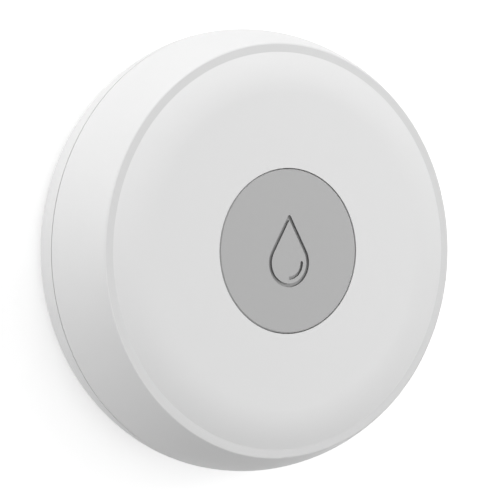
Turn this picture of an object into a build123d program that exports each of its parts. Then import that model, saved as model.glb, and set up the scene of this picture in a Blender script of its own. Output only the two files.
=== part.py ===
from build123d import *
from math import asin, cos, sin, sqrt
import os

# Water leak sensor: a round puck that lies face up on four metal probes.
# Lengths are millimetres. +Z points up out of the face, z = 0 is the floor under the probe
# tips, and the drop on the button points its tip towards +Y.

# Housing outline
wall_lean = 2.65  # how far the side wall leans in from the seam to the rim
lip_width = 1.28
lip_rise = 0.02
rim_round = 0.3
face_roll = 5.5  # width of the curved edge round the flat of the face
face_rise = 1.05  # face above the lip
back_to_seam = 7.0
back_lean = 2.2  # how far the side wall leans in from the seam to the back
back_round = 0.9
seam_gap = 0.15
shell_wall = 1.6
land_width = 1.2  # ledge in the shell that the sealing ring meets
overrun = 1.0  # how far a cut runs past a face

# Rear cover
cover_wall = 1.5
cover_floor = 1.5
floor_slope = 0.8
tongue_thickness = 0.8
tongue_height = 1.8
tongue_gap = 0.1
recess_bevel = 0.2  # round the screw and probe holes in the back
floor_rib_thickness = 1.0
floor_rib_height = 2.6
floor_rib_length = 26.0

# Sealing ring
seal_height = 0.95
seal_edge = 0.25
seal_inset = 0.05
seat_gap = 0.05  # left between pieces that meet across a joint

# Cover screws and their bosses
boss_radius = 2.6
boss_gap = 0.5  # between a boss and the tongue
boss_web_thickness = 1.6
pillar_radius = 2.8
pillar_gap = 0.25  # between a pillar and the tray
pillar_height = 4.6
counterbore_radius = 2.1
head_radius = 1.9
head_height = 1.2
head_sink = 0.5
head_edge = 0.3
shank_radius = 1.1
shank_length = 9.5
shank_point = 0.8
thread_gap = 0.05
pass_gap = 0.15
screw_seal_height = 0.4
cross_length = 2.2
cross_width = 0.5
cross_depth = 0.6

# Leak probes
probe_inset = 1.9  # probe circle inside the screw circle
probe_stand = 0.8  # back face above the floor
probe_head_radius = 2.2
probe_head_height = 1.4
probe_tip_round = 0.5
probe_recess_gap = 0.2
probe_seal_height = 0.5
probe_seal_inset = 0.1
probe_shank_radius = 1.0
probe_shank_gap = 0.05
probe_boss_radius = 3.4
probe_boss_height = 1.4
nut_flats = 4.0
nut_height = 1.6

# Button
button_radius = 11.79
button_gap = 0.12
button_edge_round = 0.15
button_thickness = 1.2
button_travel = 0.35
skirt_thickness = 1.2
flange_width = 0.97
flange_height = 0.5
flange_gap = 0.02
guide_gap = 0.2
guide_wall = 1.0
guide_height = 0.95
key_width = 2.4
key_length = 0.8
key_gap = 0.15
key_angles = (90, 210, 330)
button_rib_thickness = 0.7
button_rib_height = 0.45
button_rib_count = 6
stem_radius = 1.6
stem_length = 0.65

# Drop engraved in the button
drop_radius = 3.5
drop_centre = -1.7
drop_tip = 5.45  # before it is rounded
drop_tip_round = 0.3
groove_width = 0.52
groove_depth = 0.35
glint_radius = 2.2
glint_width = 0.46

# Silicone boot between the board and the button
boot_foot_outer = 9.6
boot_foot_inner = 8.2
boot_foot_height = 0.7
boot_wall = 0.4
boot_crown_radius = 3.6
boot_crown_height = 0.45

# Main board
board_inset = 2.5  # board edge inside the land
board_thickness = 1.0
board_gap = 0.3
post_radius = 2.0
post_bore_depth = 2.2
board_screw_x = 9.0
ear_reach = 3.0  # screws outside the tray's side
board_screw_radius = 0.85
board_head_radius = 1.7
board_head_height = 1.1
board_screw_bite = 1.9  # how far it runs into its post
board_screw_gap = 0.15
post_gap = 0.05

# Tact switch
switch_side = 4.4
switch_height = 1.3
switch_collar_radius = 1.7
switch_collar_height = 0.2
switch_leg_reach = 0.8
switch_leg_width = 0.7
switch_leg_thickness = 0.15
switch_leg_offset = 1.2
switch_bore_depth = 1.15
plunger_radius = 1.0
plunger_gap = 0.06
plunger_rise = 0.5
plunger_sink = 0.75
plunger_round = 0.15

# Parts on the board
led_length = 1.6
led_width = 0.8
led_base_height = 0.35
led_lens_height = 0.35
led_lens_length = 1.1
led_gap = 1.1  # outside the foot of the boot
radio_length = 14.0
radio_width = 8.8
radio_thickness = 0.6
radio_inset = 8.0  # places given as insets are measured in from the board's edge
shield_length = 9.0
shield_width = 7.6
shield_height = 1.1
shield_round = 0.4
shield_shift = 1.9
antenna_length = 3.2
antenna_width = 1.6
antenna_height = 0.8
antenna_shift = 5.0
chip_side = 5.0
chip_height = 0.9
chip_mark_radius = 0.3
chip_mark_depth = 0.1
chip_mark_inset = 0.8
chip_inset = 8.6
passive_length = 1.6
passive_width = 0.8
passive_height = 0.8
passive_pitch = 2.2
passive_inset = 7.6
passive_count = 5
capacitor_radius = 2.0
capacitor_height = 5.0
capacitor_base_side = 4.3
capacitor_base_height = 0.5
capacitor_inset = 7.2
capacitor_neck_inset = 0.2
capacitor_neck_height = 0.4

# Battery cells
cell_radius = 5.25
cell_length = 44.5
cell_nub_radius = 1.9
cell_nub_length = 0.8
cell_edge = 0.4
cell_floor_gap = 0.3
cell_side_gap = 0.15

# Battery tray
tray_end_room = 0.7  # for the contact at each end of the cells
tray_divider = 0.6
tray_roof = 0.65
tray_end_wall = 0.9
tray_side_wall = 0.9
tray_skirt_gap = 1.7  # open height between the cover floor and the tray
pocket_depth = 1.25
window_length = 12.0
window_width = 5.0
window_shift = 9.5
ear_width = 4.8
ear_thickness = 1.2

# Battery contacts
contact_thickness = 0.3
contact_width = 6.0
contact_height = 7.6
contact_round = 0.8
contact_touch = 0.05
contact_lean = 0.2
tab_width = 2.0
tab_rise = 0.6
tab_gap = 0.1
link_height = 1.2
leaf_width = 4.6

# Probe contacts on the board
finger_height = 4.5  # from the board down to the probe
finger_thickness = 0.25
finger_width = 2.0
finger_pad_front = 1.4
finger_pad_back = 2.6
finger_toe = 1.2
finger_toe_rise = 0.5
finger_bend = 0.45

# Angles and other places
full_turn = 360
roof_rib_thickness = 0.9
roof_rib_height = 0.7
roof_rib_angles = (40, 75, 105, 140, 220, 255, 285, 320)
screw_angles = (0, 90, 180, 270)
probe_angles = (45, 135, 225, 315)

# Heights, stacked from the floor up through the cells, the board and the switch to the face
back_z = probe_stand
seam_z = back_z + back_to_seam
shell_low = seam_z + seam_gap
floor_z = back_z + cover_floor
tongue_top = seam_z + tongue_height
land_z = tongue_top + seal_height + seat_gap
pillar_top = floor_z + pillar_height
cell_z = floor_z + cell_floor_gap + cell_radius
tray_low = floor_z + tray_skirt_gap
channel_radius = cell_radius + cell_side_gap
channel_top = cell_z + channel_radius
board_low = channel_top + tray_roof
board_high = board_low + board_thickness
probe_top = board_low - finger_height
switch_top = board_high + switch_height + switch_collar_height
plunger_top = switch_top + plunger_rise
crown_low = plunger_top + seat_gap
crown_top = crown_low + boot_crown_height
button_under = crown_top + stem_length
face_z = button_under + button_thickness
rim_z = face_z - face_rise
roof_z = face_z - shell_wall
flange_top = roof_z - flange_gap
flange_low = flange_top - flange_height

# Tray sizes, worked out from the cells
cell_pitch = 2 * channel_radius + tray_divider
tray_inner_half = cell_length / 2 + tray_end_room
tray_half_length = tray_inner_half + tray_end_wall
tray_half_width = cell_pitch / 2 + channel_radius + tray_side_wall
cell_tip = tray_inner_half - contact_thickness - contact_touch
cell_base = cell_tip - cell_length
board_screw_y = tray_half_width + ear_reach

# Radii, from the tray's end out through the screws and the tongue to the widest point
cover_screw_circle = tray_half_length + pillar_gap + pillar_radius
probe_circle = cover_screw_circle - probe_inset
tongue_inner = cover_screw_circle + boss_radius + boss_gap
tongue_outer = tongue_inner + tongue_thickness
rebate_radius = tongue_outer + tongue_gap
max_radius = rebate_radius + shell_wall
land_radius = rebate_radius - land_width
rim_radius = max_radius - wall_lean
lip_inner_radius = rim_radius - lip_width
face_flat_radius = lip_inner_radius - face_roll
back_edge_radius = max_radius - back_lean
board_radius = land_radius - board_inset
button_hole_radius = button_radius + button_gap
flange_radius = button_radius + flange_width
guide_inner = flange_radius + guide_gap
guide_outer = guide_inner + guide_wall
skirt_inner = button_radius - skirt_thickness
led_place = boot_foot_outer + led_gap + led_width / 2

# The side wall is an arc that stands upright at the seam and leans in by wall_lean at the rim
wall_rise = rim_z - shell_low
wall_arc = (wall_lean**2 + wall_rise**2) / (2 * wall_lean)
wall_centre = max_radius - wall_arc
inner_arc = wall_arc - shell_wall

FOOT = (Align.CENTER, Align.CENTER, Align.MIN)


def post(radius, low, high):
    """Upright cylinder on the Z axis between two heights."""
    return Pos(0, 0, low) * Cylinder(radius, high - low, align=FOOT)


def drill(radius, low, high):
    """Cutter for a round hole that runs past both ends."""
    return post(radius, low - overrun, high + overrun)


def block(length, width, low, high):
    """Upright box on the Z axis between two heights."""
    return Pos(0, 0, low) * Box(length, width, high - low, align=FOOT)


def turned(outline):
    """Solid turned about Z from edges given as (radius, height)."""
    return revolve(Plane.XZ * make_face(outline), Axis.Z)


def around(radius, angle):
    """Place at a radius from the Z axis, turned to face outwards."""
    return Rot(0, 0, angle) * Pos(radius, 0, 0)


def corners(half_length, half_width):
    """Four mirrored places on the XY plane."""
    return [Pos(x, y, 0) for x in (-half_length, half_length) for y in (-half_width, half_width)]


def inner_wall_radius(height):
    """Radius of the shell's inner wall arc at a height."""
    return wall_centre + sqrt(inner_arc**2 - (height - shell_low) ** 2)


def inner_wall_height(radius):
    """Height of the shell's inner wall arc at a radius."""
    return shell_low + sqrt(inner_arc**2 - (radius - wall_centre) ** 2)


def group(solids):
    """Several separate solids kept as one node."""
    return Compound(children=list(solids))


# Front shell


def shell_outside():
    """Pillowed face, lip and bulging side wall as one turned blank."""
    wall_top = (rim_radius, rim_z)
    wall_foot = (max_radius, shell_low)
    crease = (lip_inner_radius, rim_z - lip_rise)
    face_edge = (face_flat_radius, face_z)
    outline = [
        Line((0, shell_low), wall_foot),
        TangentArc(wall_foot, wall_top, tangent=(0, 1)),
        Line(wall_top, crease),
        TangentArc(face_edge, crease, tangent=(1, 0)),
        Line(face_edge, (0, face_z)),
        Line((0, face_z), (0, shell_low)),
    ]
    section = make_face(outline)
    rim_corner = section.vertices().sort_by_distance((rim_radius, rim_z))[0]
    return revolve(Plane.XZ * fillet(rim_corner, rim_round), Axis.Z)


def shell_inside():
    """Cavity with the rebate for the tongue and the land for the sealing ring."""
    roof_edge_z = rim_z - shell_wall
    roof_edge = (inner_wall_radius(roof_edge_z), roof_edge_z)
    land_top = (land_radius, inner_wall_height(land_radius))
    lean = (shell_low - land_top[1], land_radius - wall_centre)
    low = shell_low - overrun
    rebate = [(rebate_radius, low), (rebate_radius, land_z), (land_radius, land_z)]
    return turned(
        [
            Polyline((0, low), *rebate, land_top),
            TangentArc(land_top, roof_edge, tangent=lean),
            Polyline(roof_edge, (face_flat_radius, roof_z), (0, roof_z), (0, low)),
        ]
    )


def roof_ribs():
    """Ribs under the face, from the button guide to the wall."""
    length = lip_inner_radius - guide_outer + guide_wall / 2
    middle = guide_outer - guide_wall / 2 + length / 2
    rib = block(length, roof_rib_thickness, roof_z - roof_rib_height, roof_z + shell_wall / 2)
    return [around(middle, angle) * rib for angle in roof_rib_angles]


def key_slots():
    """Notches in the button guide for the keys of the button."""
    reach = guide_outer + overrun
    slot = block(reach, key_width + 2 * key_gap, roof_z - guide_height - overrun, roof_z)
    return [around(reach / 2, angle) * slot for angle in key_angles]


def front_shell():
    """Moulded front housing with its bosses, posts, ribs and button guide."""
    blank = shell_outside()
    shell = blank - shell_inside()
    guide = post(guide_outer, roof_z - guide_height, roof_z + shell_wall / 2)
    guide -= drill(guide_inner, roof_z - guide_height, roof_z)
    for slot in key_slots():
        guide -= slot
    inside = [guide] + roof_ribs()
    standoff = post(post_radius, board_high, roof_z + shell_wall / 2)
    inside += [place * standoff for place in board_screw_places()]
    boss_low = pillar_top + seat_gap
    boss = post(boss_radius, boss_low, roof_z)
    web_reach = land_radius - cover_screw_circle + shell_wall / 2
    boss += Pos(web_reach / 2, 0, 0) * block(web_reach, boss_web_thickness, land_z, roof_z)
    inside += [around(cover_screw_circle, angle) * boss for angle in screw_angles]
    room = blank + drill(land_radius, boss_low, shell_low)
    for piece in inside:
        shell += piece & room
    bite_low = pillar_top - overrun
    bite_high = floor_z + shank_length + screw_seal_height
    for angle in screw_angles:
        shell -= around(cover_screw_circle, angle) * post(shank_radius + thread_gap, bite_low, bite_high)
    for place in board_screw_places():
        shell -= place * post(board_screw_radius + post_gap, board_low, board_high + post_bore_depth)
    return shell - post(button_hole_radius, roof_z - guide_height, face_z + overrun)


# Rear cover


def cover_blank():
    """Cup with a curved side, a rounded back edge and a raised tongue."""
    back_edge = (back_edge_radius, back_z)
    seam_edge = (max_radius, seam_z)
    inner_floor_radius = back_edge_radius - cover_wall
    outline = [
        Line((0, back_z), back_edge),
        TangentArc(seam_edge, back_edge, tangent=(0, -1)),
        Polyline(
            seam_edge,
            (tongue_outer, seam_z),
            (tongue_outer, tongue_top),
            (tongue_inner, tongue_top),
            (tongue_inner, seam_z - cover_wall),
            (inner_floor_radius, floor_z + floor_slope),
            (inner_floor_radius - floor_slope, floor_z),
            (0, floor_z),
            (0, back_z),
        ),
    ]
    section = make_face(outline)
    back_corner = section.vertices().sort_by_distance(back_edge)[0]
    return revolve(Plane.XZ * fillet(back_corner, back_round), Axis.Z)


def rear_cover():
    """Rear cover with screw pillars, probe bosses and ribs beside the tray."""
    cover = cover_blank()
    hull = post(tongue_inner, floor_z - cover_floor / 2, pillar_top)
    pillar = post(pillar_radius, back_z + cover_floor / 2, pillar_top)
    for angle in screw_angles:
        cover += hull & (around(cover_screw_circle, angle) * pillar)
    for angle in probe_angles:
        cover += around(probe_circle, angle) * post(probe_boss_radius, floor_z, floor_z + probe_boss_height)
    rib_y = tray_half_width + board_gap + floor_rib_thickness / 2
    rib = block(floor_rib_length, floor_rib_thickness, floor_z, floor_z + floor_rib_height)
    web_length = cover_screw_circle - rib_y
    web = block(floor_rib_thickness, web_length, floor_z, floor_z + floor_rib_height)
    for side in (-1, 1):
        cover += Pos(0, side * rib_y, 0) * rib
        cover += Pos(0, side * (rib_y + web_length / 2), 0) * web
    head_seat = back_z + head_sink + head_height + screw_seal_height
    for angle in screw_angles:
        place = around(cover_screw_circle, angle)
        cover -= place * post(counterbore_radius, back_z - overrun, head_seat)
        cover -= place * drill(shank_radius + pass_gap, back_z, pillar_top)
    for angle in probe_angles:
        place = around(probe_circle, angle)
        recess_top = probe_head_height + probe_seal_height
        cover -= place * post(probe_head_radius + probe_recess_gap, back_z - overrun, recess_top)
        cover -= place * drill(probe_shank_radius + probe_shank_gap, back_z, floor_z + probe_boss_height)
    back_rims = cover.edges().group_by(Axis.Z)[0]
    return chamfer([rim for rim in back_rims if rim.radius < probe_boss_radius], recess_bevel)


def sealing_ring():
    """Rubber ring on the tongue, bevelled where it meets the shell."""
    inner = tongue_inner + seal_inset
    outer = tongue_outer - seal_inset
    top = tongue_top + seal_height
    section = make_face(
        Polyline((inner, tongue_top), (outer, tongue_top), (outer, top), (inner, top), close=True)
    )
    crown = section.vertices().group_by(Axis.Y)[-1]
    return revolve(Plane.XZ * chamfer(crown, seal_edge), Axis.Z)


def cross_recess(low):
    """Cross-shaped driver recess cut upwards from a downward head."""
    bar = block(cross_length, cross_width, low - overrun, low + cross_depth)
    return bar + Rot(0, 0, 90) * bar


def screw(head, height, shank, low, top, point):
    """Downward pan head with an upward shank on the Z axis."""
    body = turned(
        Polyline(
            (0, low),
            (head - head_edge, low),
            (head, low + head_edge),
            (head, low + height),
            (shank, low + height),
            (shank, top - point),
            (shank / 2, top),
            (0, top),
            close=True,
        )
    )
    return body - cross_recess(low)


def cover_screws():
    """Four screws that hold the rear cover."""
    low = back_z + head_sink
    top = low + head_height + shank_length
    one = screw(head_radius, head_height, shank_radius, low, top, shank_point)
    return group(around(cover_screw_circle, angle) * one for angle in screw_angles)


def screw_seals():
    """Rubber washers under the cover screw heads."""
    low = back_z + head_sink + head_height
    ring = post(head_radius, low, low + screw_seal_height)
    ring -= drill(shank_radius + thread_gap, low, low + screw_seal_height)
    return group(around(cover_screw_circle, angle) * ring for angle in screw_angles)


def leak_probe():
    """Flat-tipped metal probe on the Z axis."""
    blank = turned(
        Polyline(
            (0, 0),
            (probe_head_radius, 0),
            (probe_head_radius, probe_head_height),
            (probe_shank_radius, probe_head_height),
            (probe_shank_radius, probe_top),
            (0, probe_top),
            close=True,
        )
    )
    return fillet(blank.edges().group_by(Axis.Z)[0], probe_tip_round)


def probe_seals():
    """Rubber rings between the probe heads and the cover."""
    low = probe_head_height
    ring = post(probe_head_radius - probe_seal_inset, low, low + probe_seal_height)
    ring -= drill(probe_shank_radius + probe_shank_gap, low, low + probe_seal_height)
    return group(around(probe_circle, angle) * ring for angle in probe_angles)


def probe_nuts():
    """Hexagonal nuts that hold the probes inside the cover."""
    low = floor_z + probe_boss_height
    flats = RegularPolygon(nut_flats / 2, 6, major_radius=False)
    nut = Pos(0, 0, low) * extrude(flats, nut_height)
    nut -= drill(probe_shank_radius + probe_shank_gap, low, low + nut_height)
    return group(around(probe_circle, angle) * nut for angle in probe_angles)


# Button


def drop_outline(inset):
    """Drop moved inwards by inset: a circle and the two straight sides that touch it."""
    half_angle = asin(drop_radius / (drop_tip - drop_centre))
    radius = drop_radius - inset
    tip = drop_centre + radius / sin(half_angle)
    touch_x = radius * cos(half_angle)
    touch_y = drop_centre + radius * sin(half_angle)
    sides = Polygon((0, tip), (-touch_x, touch_y), (0, drop_centre), (touch_x, touch_y), align=None)
    return Pos(0, drop_centre) * Circle(radius) + sides


def drop_groove():
    """Cutter for the drop's outline and the curved glint inside it."""
    outside = drop_outline(0)
    tip = outside.vertices().sort_by(Axis.Y)[-1]
    outline = fillet(tip, drop_tip_round) - drop_outline(groove_width)
    half = glint_width / 2
    ring = Circle(glint_radius + half) - Circle(glint_radius - half)
    corner = Rectangle(drop_radius, drop_radius, align=(Align.MIN, Align.MAX))
    glint = (ring & corner) + Pos(glint_radius, 0) * Circle(half)
    mark = outline + Pos(0, drop_centre) * glint
    return Pos(0, 0, face_z - groove_depth) * extrude(mark, groove_depth + overrun)


def button_cap():
    """Button disc with a skirt, a keyed flange, ribs and a stem."""
    cap = turned(
        Polyline(
            (0, face_z),
            (button_radius - button_edge_round, face_z),
            (button_radius, face_z - button_edge_round),
            (button_radius, flange_top),
            (flange_radius, flange_top),
            (flange_radius, flange_low),
            (skirt_inner, flange_low),
            (skirt_inner, button_under),
            (0, button_under),
            close=True,
        )
    )
    key_reach = flange_width + key_length
    key = block(key_reach, key_width, flange_low, flange_top)
    for angle in key_angles:
        cap += around(button_radius + key_reach / 2, angle) * key
    rib_low = button_under - button_rib_height
    rib_length = skirt_inner - stem_radius / 2 + skirt_thickness / 2
    rib = block(rib_length, button_rib_thickness, rib_low, button_under + button_thickness / 2)
    for index in range(button_rib_count):
        cap += around(stem_radius / 2 + rib_length / 2, full_turn / button_rib_count * index) * rib
    cap += post(stem_radius, crown_top, button_under + button_thickness / 2)
    return cap - drop_groove()


def button_boot():
    """Silicone boot: a foot on the board, a thin cone and a crown over the switch."""
    foot_top = board_high + boot_foot_height
    crown_side = (boot_crown_radius, crown_top)
    return turned(
        Polyline(
            (0, crown_low),
            (boot_crown_radius, crown_low),
            (boot_foot_inner, foot_top - boot_wall),
            (boot_foot_inner, board_high),
            (boot_foot_outer, board_high),
            (boot_foot_outer, foot_top),
            (boot_foot_inner, foot_top),
            crown_side,
            (0, crown_top),
            close=True,
        )
    )


# Main board and what is on it


def board_screw_places():
    """Places of the four screws that hold the board and the tray."""
    return corners(board_screw_x, board_screw_y)


def main_board():
    """Round board notched for the bosses, with holes for screws and contact tabs."""
    board = post(board_radius, board_low, board_high)
    for angle in screw_angles:
        board -= around(cover_screw_circle, angle) * drill(boss_radius + board_gap, board_low, board_high)
    for place in board_screw_places():
        board -= place * drill(board_screw_radius + board_screw_gap, board_low, board_high)
    for cutter in tab_slots():
        board -= cutter
    return board


def board_screws():
    """Four screws up through the tray ears and the board into the shell's posts."""
    low = board_low - ear_thickness - board_head_height
    top = board_high + board_screw_bite
    one = screw(board_head_radius, board_head_height, board_screw_radius, low, top, board_screw_radius / 2)
    return group(place * one for place in board_screw_places())


def switch_body():
    """Tact switch case with a collar, a plunger bore and four bent legs."""
    case_top = board_high + switch_height
    case = block(switch_side, switch_side, board_high, case_top)
    case += post(switch_collar_radius, case_top - switch_collar_height, switch_top)
    case -= post(plunger_radius + plunger_gap, switch_top - switch_bore_depth, switch_top + overrun)
    leg_x = switch_side / 2 + switch_leg_reach / 2
    leg = block(switch_leg_reach, switch_leg_width, board_high, board_high + switch_leg_thickness)
    for place in corners(leg_x, switch_leg_offset):
        case += place * leg
    return case


def switch_plunger():
    """Round plunger of the tact switch."""
    blank = post(plunger_radius, switch_top - plunger_sink, plunger_top)
    return fillet(blank.edges().group_by(Axis.Z)[-1], plunger_round)


def status_led():
    """Small light with a base and a lens, under the button's edge."""
    base_top = board_high + led_base_height
    base = block(led_length, led_width, board_high, base_top)
    lens = block(led_lens_length, led_width, base_top, base_top + led_lens_height)
    return Pos(0, -led_place, 0) * (base + lens)


def radio_place():
    """Place of the radio module, at the board's -X edge."""
    return Pos(radio_inset - board_radius, 0, 0)


def radio_board():
    """Small board of the radio module."""
    top = board_high + radio_thickness
    return radio_place() * block(radio_width, radio_length, board_high, top)


def radio_shield():
    """Pressed can over the radio's parts."""
    low = board_high + radio_thickness
    blank = block(shield_width, shield_length, low, low + shield_height)
    can = fillet(blank.edges().filter_by(Axis.Z), shield_round)
    return radio_place() * Pos(0, -shield_shift, 0) * can


def chip_antenna():
    """Ceramic antenna at the free end of the radio module."""
    low = board_high + radio_thickness
    antenna = block(antenna_width, antenna_length, low, low + antenna_height)
    return radio_place() * Pos(0, antenna_shift, 0) * antenna


def controller_chip():
    """Square control chip with its corner mark."""
    top = board_high + chip_height
    mark_place = chip_side / 2 - chip_mark_inset
    chip = block(chip_side, chip_side, board_high, top)
    chip -= Pos(mark_place, mark_place, 0) * post(chip_mark_radius, top - chip_mark_depth, top + overrun)
    return Pos(board_radius - chip_inset, 0, 0) * chip


def board_passives():
    """Two rows of small capacitors and resistors."""
    one = block(passive_width, passive_length, board_high, board_high + passive_height)
    first = -passive_pitch * (passive_count - 1) / 2
    rows = []
    for side in (-1, 1):
        for index in range(passive_count):
            rows.append(Pos(first + passive_pitch * index, side * (board_radius - passive_inset), 0) * one)
    return group(rows)


def bulk_capacitor():
    """Can capacitor that hangs under the board, with its square base and waist."""
    base = block(capacitor_base_side, capacitor_base_side, board_low - capacitor_base_height, board_low)
    base_low = board_low - capacitor_base_height
    neck = capacitor_radius - capacitor_neck_inset
    can = turned(
        Polyline(
            (0, base_low),
            (capacitor_radius, base_low),
            (capacitor_radius, base_low - capacitor_neck_height),
            (neck, base_low - 2 * capacitor_neck_height),
            (capacitor_radius, base_low - 3 * capacitor_neck_height),
            (capacitor_radius, board_low - capacitor_height),
            (0, board_low - capacitor_height),
            close=True,
        )
    )
    return Pos(0, board_radius - capacitor_inset, 0) * (base + can)


# Battery tray, cells and contacts


def lengthwise(radius, start, end):
    """Cylinder along X between two places, at the height of the cells."""
    return Pos(start, 0, cell_z) * Rot(0, 90, 0) * Cylinder(radius, end - start, align=FOOT)


def battery_tray():
    """Tray with a round channel for each cell, end pockets, windows and four ears."""
    tray = block(2 * tray_half_length, 2 * tray_half_width, tray_low, board_low)
    low = tray_low - overrun
    for side in (-1, 1):
        lane = Pos(0, side * cell_pitch / 2, 0)
        tray -= lane * lengthwise(channel_radius, -tray_inner_half, tray_inner_half)
        tray -= lane * block(2 * tray_inner_half, 2 * channel_radius, low, cell_z)
        for shift in (-window_shift, window_shift):
            tray -= lane * Pos(shift, 0, 0) * block(window_length, window_width, cell_z, board_low + overrun)
    pocket_middle = tray_inner_half - pocket_depth / 2
    pocket_width = cell_pitch + 2 * channel_radius
    for side in (-1, 1):
        tray -= Pos(side * pocket_middle, 0, 0) * block(pocket_depth, pocket_width, low, channel_top)
    ear_length = board_screw_y - tray_half_width + tray_side_wall / 2
    for place in board_screw_places():
        inward = -1 if place.position.Y > 0 else 1
        arm = block(ear_width, ear_length, board_low - ear_thickness, board_low)
        ear = Pos(0, inward * ear_length / 2, 0) * arm
        ear += post(ear_width / 2, board_low - ear_thickness, board_low)
        tray += place * ear
    for place in board_screw_places():
        tray -= place * drill(board_screw_radius + board_screw_gap, board_low - ear_thickness, board_low)
    for cutter in tab_slots():
        tray -= cutter
    return tray


def battery_cell():
    """Cell along X with its raised positive end at +X."""
    can = lengthwise(cell_radius, cell_base, cell_tip - cell_nub_length)
    can = chamfer(can.edges().filter_by(GeomType.CIRCLE), cell_edge)
    return can + lengthwise(cell_nub_radius, cell_tip - cell_nub_length, cell_tip)


def tab_slots():
    """Cutters for the contact tabs through the tray roof and the board."""
    thickness = contact_thickness + 2 * tab_gap
    middle = tray_inner_half - contact_thickness / 2
    slot = block(thickness, tab_width + 2 * tab_gap, channel_top - overrun, board_high + overrun)
    return [Pos(middle, side * cell_pitch / 2, 0) * slot for side in (-1, 1)]


def contact_plate():
    """Flat contact against the tray's +X end, centred on the cell."""
    outline = RectangleRounded(contact_width, contact_height, contact_round)
    plate = Plane.YZ * extrude(outline, contact_thickness)
    return Pos(tray_inner_half - contact_thickness, 0, cell_z) * plate


def contact_leaf():
    """Springy leaf folded up from the plate's foot, touching the cell's flat end."""
    half = contact_thickness / 2
    plate_x = tray_inner_half - half
    foot_z = cell_z - contact_height / 2 + contact_thickness
    touch_x = -cell_base + contact_touch + half
    tip_x = touch_x + contact_lean
    path = Polyline((plate_x, foot_z), (touch_x, cell_z), (tip_x, cell_z + contact_height / 4))
    return extrude(Plane.XZ * trace(path, contact_thickness), leaf_width / 2, both=True)


def contact_tab():
    """Tab from the plate up through the board."""
    low = cell_z + contact_height / 2 - contact_round
    middle = tray_inner_half - contact_thickness / 2
    return Pos(middle, 0, 0) * block(contact_thickness, tab_width, low, board_high + tab_rise)


def positive_terminal():
    """Contact at the raised end of the first cell."""
    return Pos(0, cell_pitch / 2, 0) * (contact_plate() + contact_tab())


def negative_terminal():
    """Contact at the flat end of the second cell."""
    return Pos(0, -cell_pitch / 2, 0) * (contact_plate() + contact_leaf() + contact_tab())


def cell_bridge():
    """Contact that joins the two cells in series at the -X end."""
    link_top = cell_z + contact_height / 2 - contact_round
    middle = tray_inner_half - contact_thickness / 2
    bar = block(contact_thickness, cell_pitch, link_top - link_height, link_top)
    link = Pos(middle, 0, 0) * bar
    plates = Pos(0, cell_pitch / 2, 0) * contact_plate()
    plates += Pos(0, -cell_pitch / 2, 0) * (contact_plate() + contact_leaf())
    return Rot(0, 0, 180) * (plates + link)


def probe_contact():
    """Bent spring finger under the board that touches a probe's top."""
    half = finger_thickness / 2
    pad_z = board_low - half
    touch_z = probe_top + seat_gap + half
    path = FilletPolyline(
        (finger_pad_front, pad_z),
        (-finger_pad_back, pad_z),
        (0, touch_z),
        (finger_toe, touch_z + finger_toe_rise),
        radius=finger_bend,
    )
    return extrude(Plane.XZ * trace(path, finger_thickness), finger_width / 2, both=True)


def nodes():
    """Every node of the part by name."""
    pieces = {
        "front_shell": front_shell(),
        "rear_cover": rear_cover(),
        "sealing_ring": sealing_ring(),
        "cover_screws": cover_screws(),
        "screw_seals": screw_seals(),
        "probe_seals": probe_seals(),
        "probe_nuts": probe_nuts(),
        "button_cap": button_cap(),
        "button_boot": button_boot(),
        "main_board": main_board(),
        "board_screws": board_screws(),
        "switch_body": switch_body(),
        "switch_plunger": switch_plunger(),
        "status_led": status_led(),
        "radio_board": radio_board(),
        "radio_shield": radio_shield(),
        "chip_antenna": chip_antenna(),
        "controller_chip": controller_chip(),
        "board_passives": board_passives(),
        "bulk_capacitor": bulk_capacitor(),
        "battery_tray": battery_tray(),
        "battery_cell_1": Pos(0, cell_pitch / 2, 0) * battery_cell(),
        "battery_cell_2": Rot(0, 0, 180) * Pos(0, cell_pitch / 2, 0) * battery_cell(),
        "positive_terminal": positive_terminal(),
        "negative_terminal": negative_terminal(),
        "cell_bridge": cell_bridge(),
    }
    probe = leak_probe()
    finger = probe_contact()
    for number, angle in enumerate(probe_angles, start=1):
        pieces[f"leak_probe_{number}"] = around(probe_circle, angle) * probe
        pieces[f"probe_contact_{number}"] = around(probe_circle, angle) * finger
    return pieces


os.makedirs("parts", exist_ok=True)
for name, piece in nodes().items():
    export_step(piece, f"parts/{name}.step")
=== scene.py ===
"""Looks of a round water leak sensor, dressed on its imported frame.

The classes here give each piece its finish, and build in fine mesh the soft, turned and threaded
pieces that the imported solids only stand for, where those solids lie. Lengths are in millimetres
until a piece is made, and a turned outline is given as (radius, height).
"""
import logging
import math
from dataclasses import dataclass
from enum import Enum
from functools import lru_cache
from typing import Iterable, Optional, Sequence, Union

import bmesh
import bpy
from mathutils import Matrix, Vector


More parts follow.
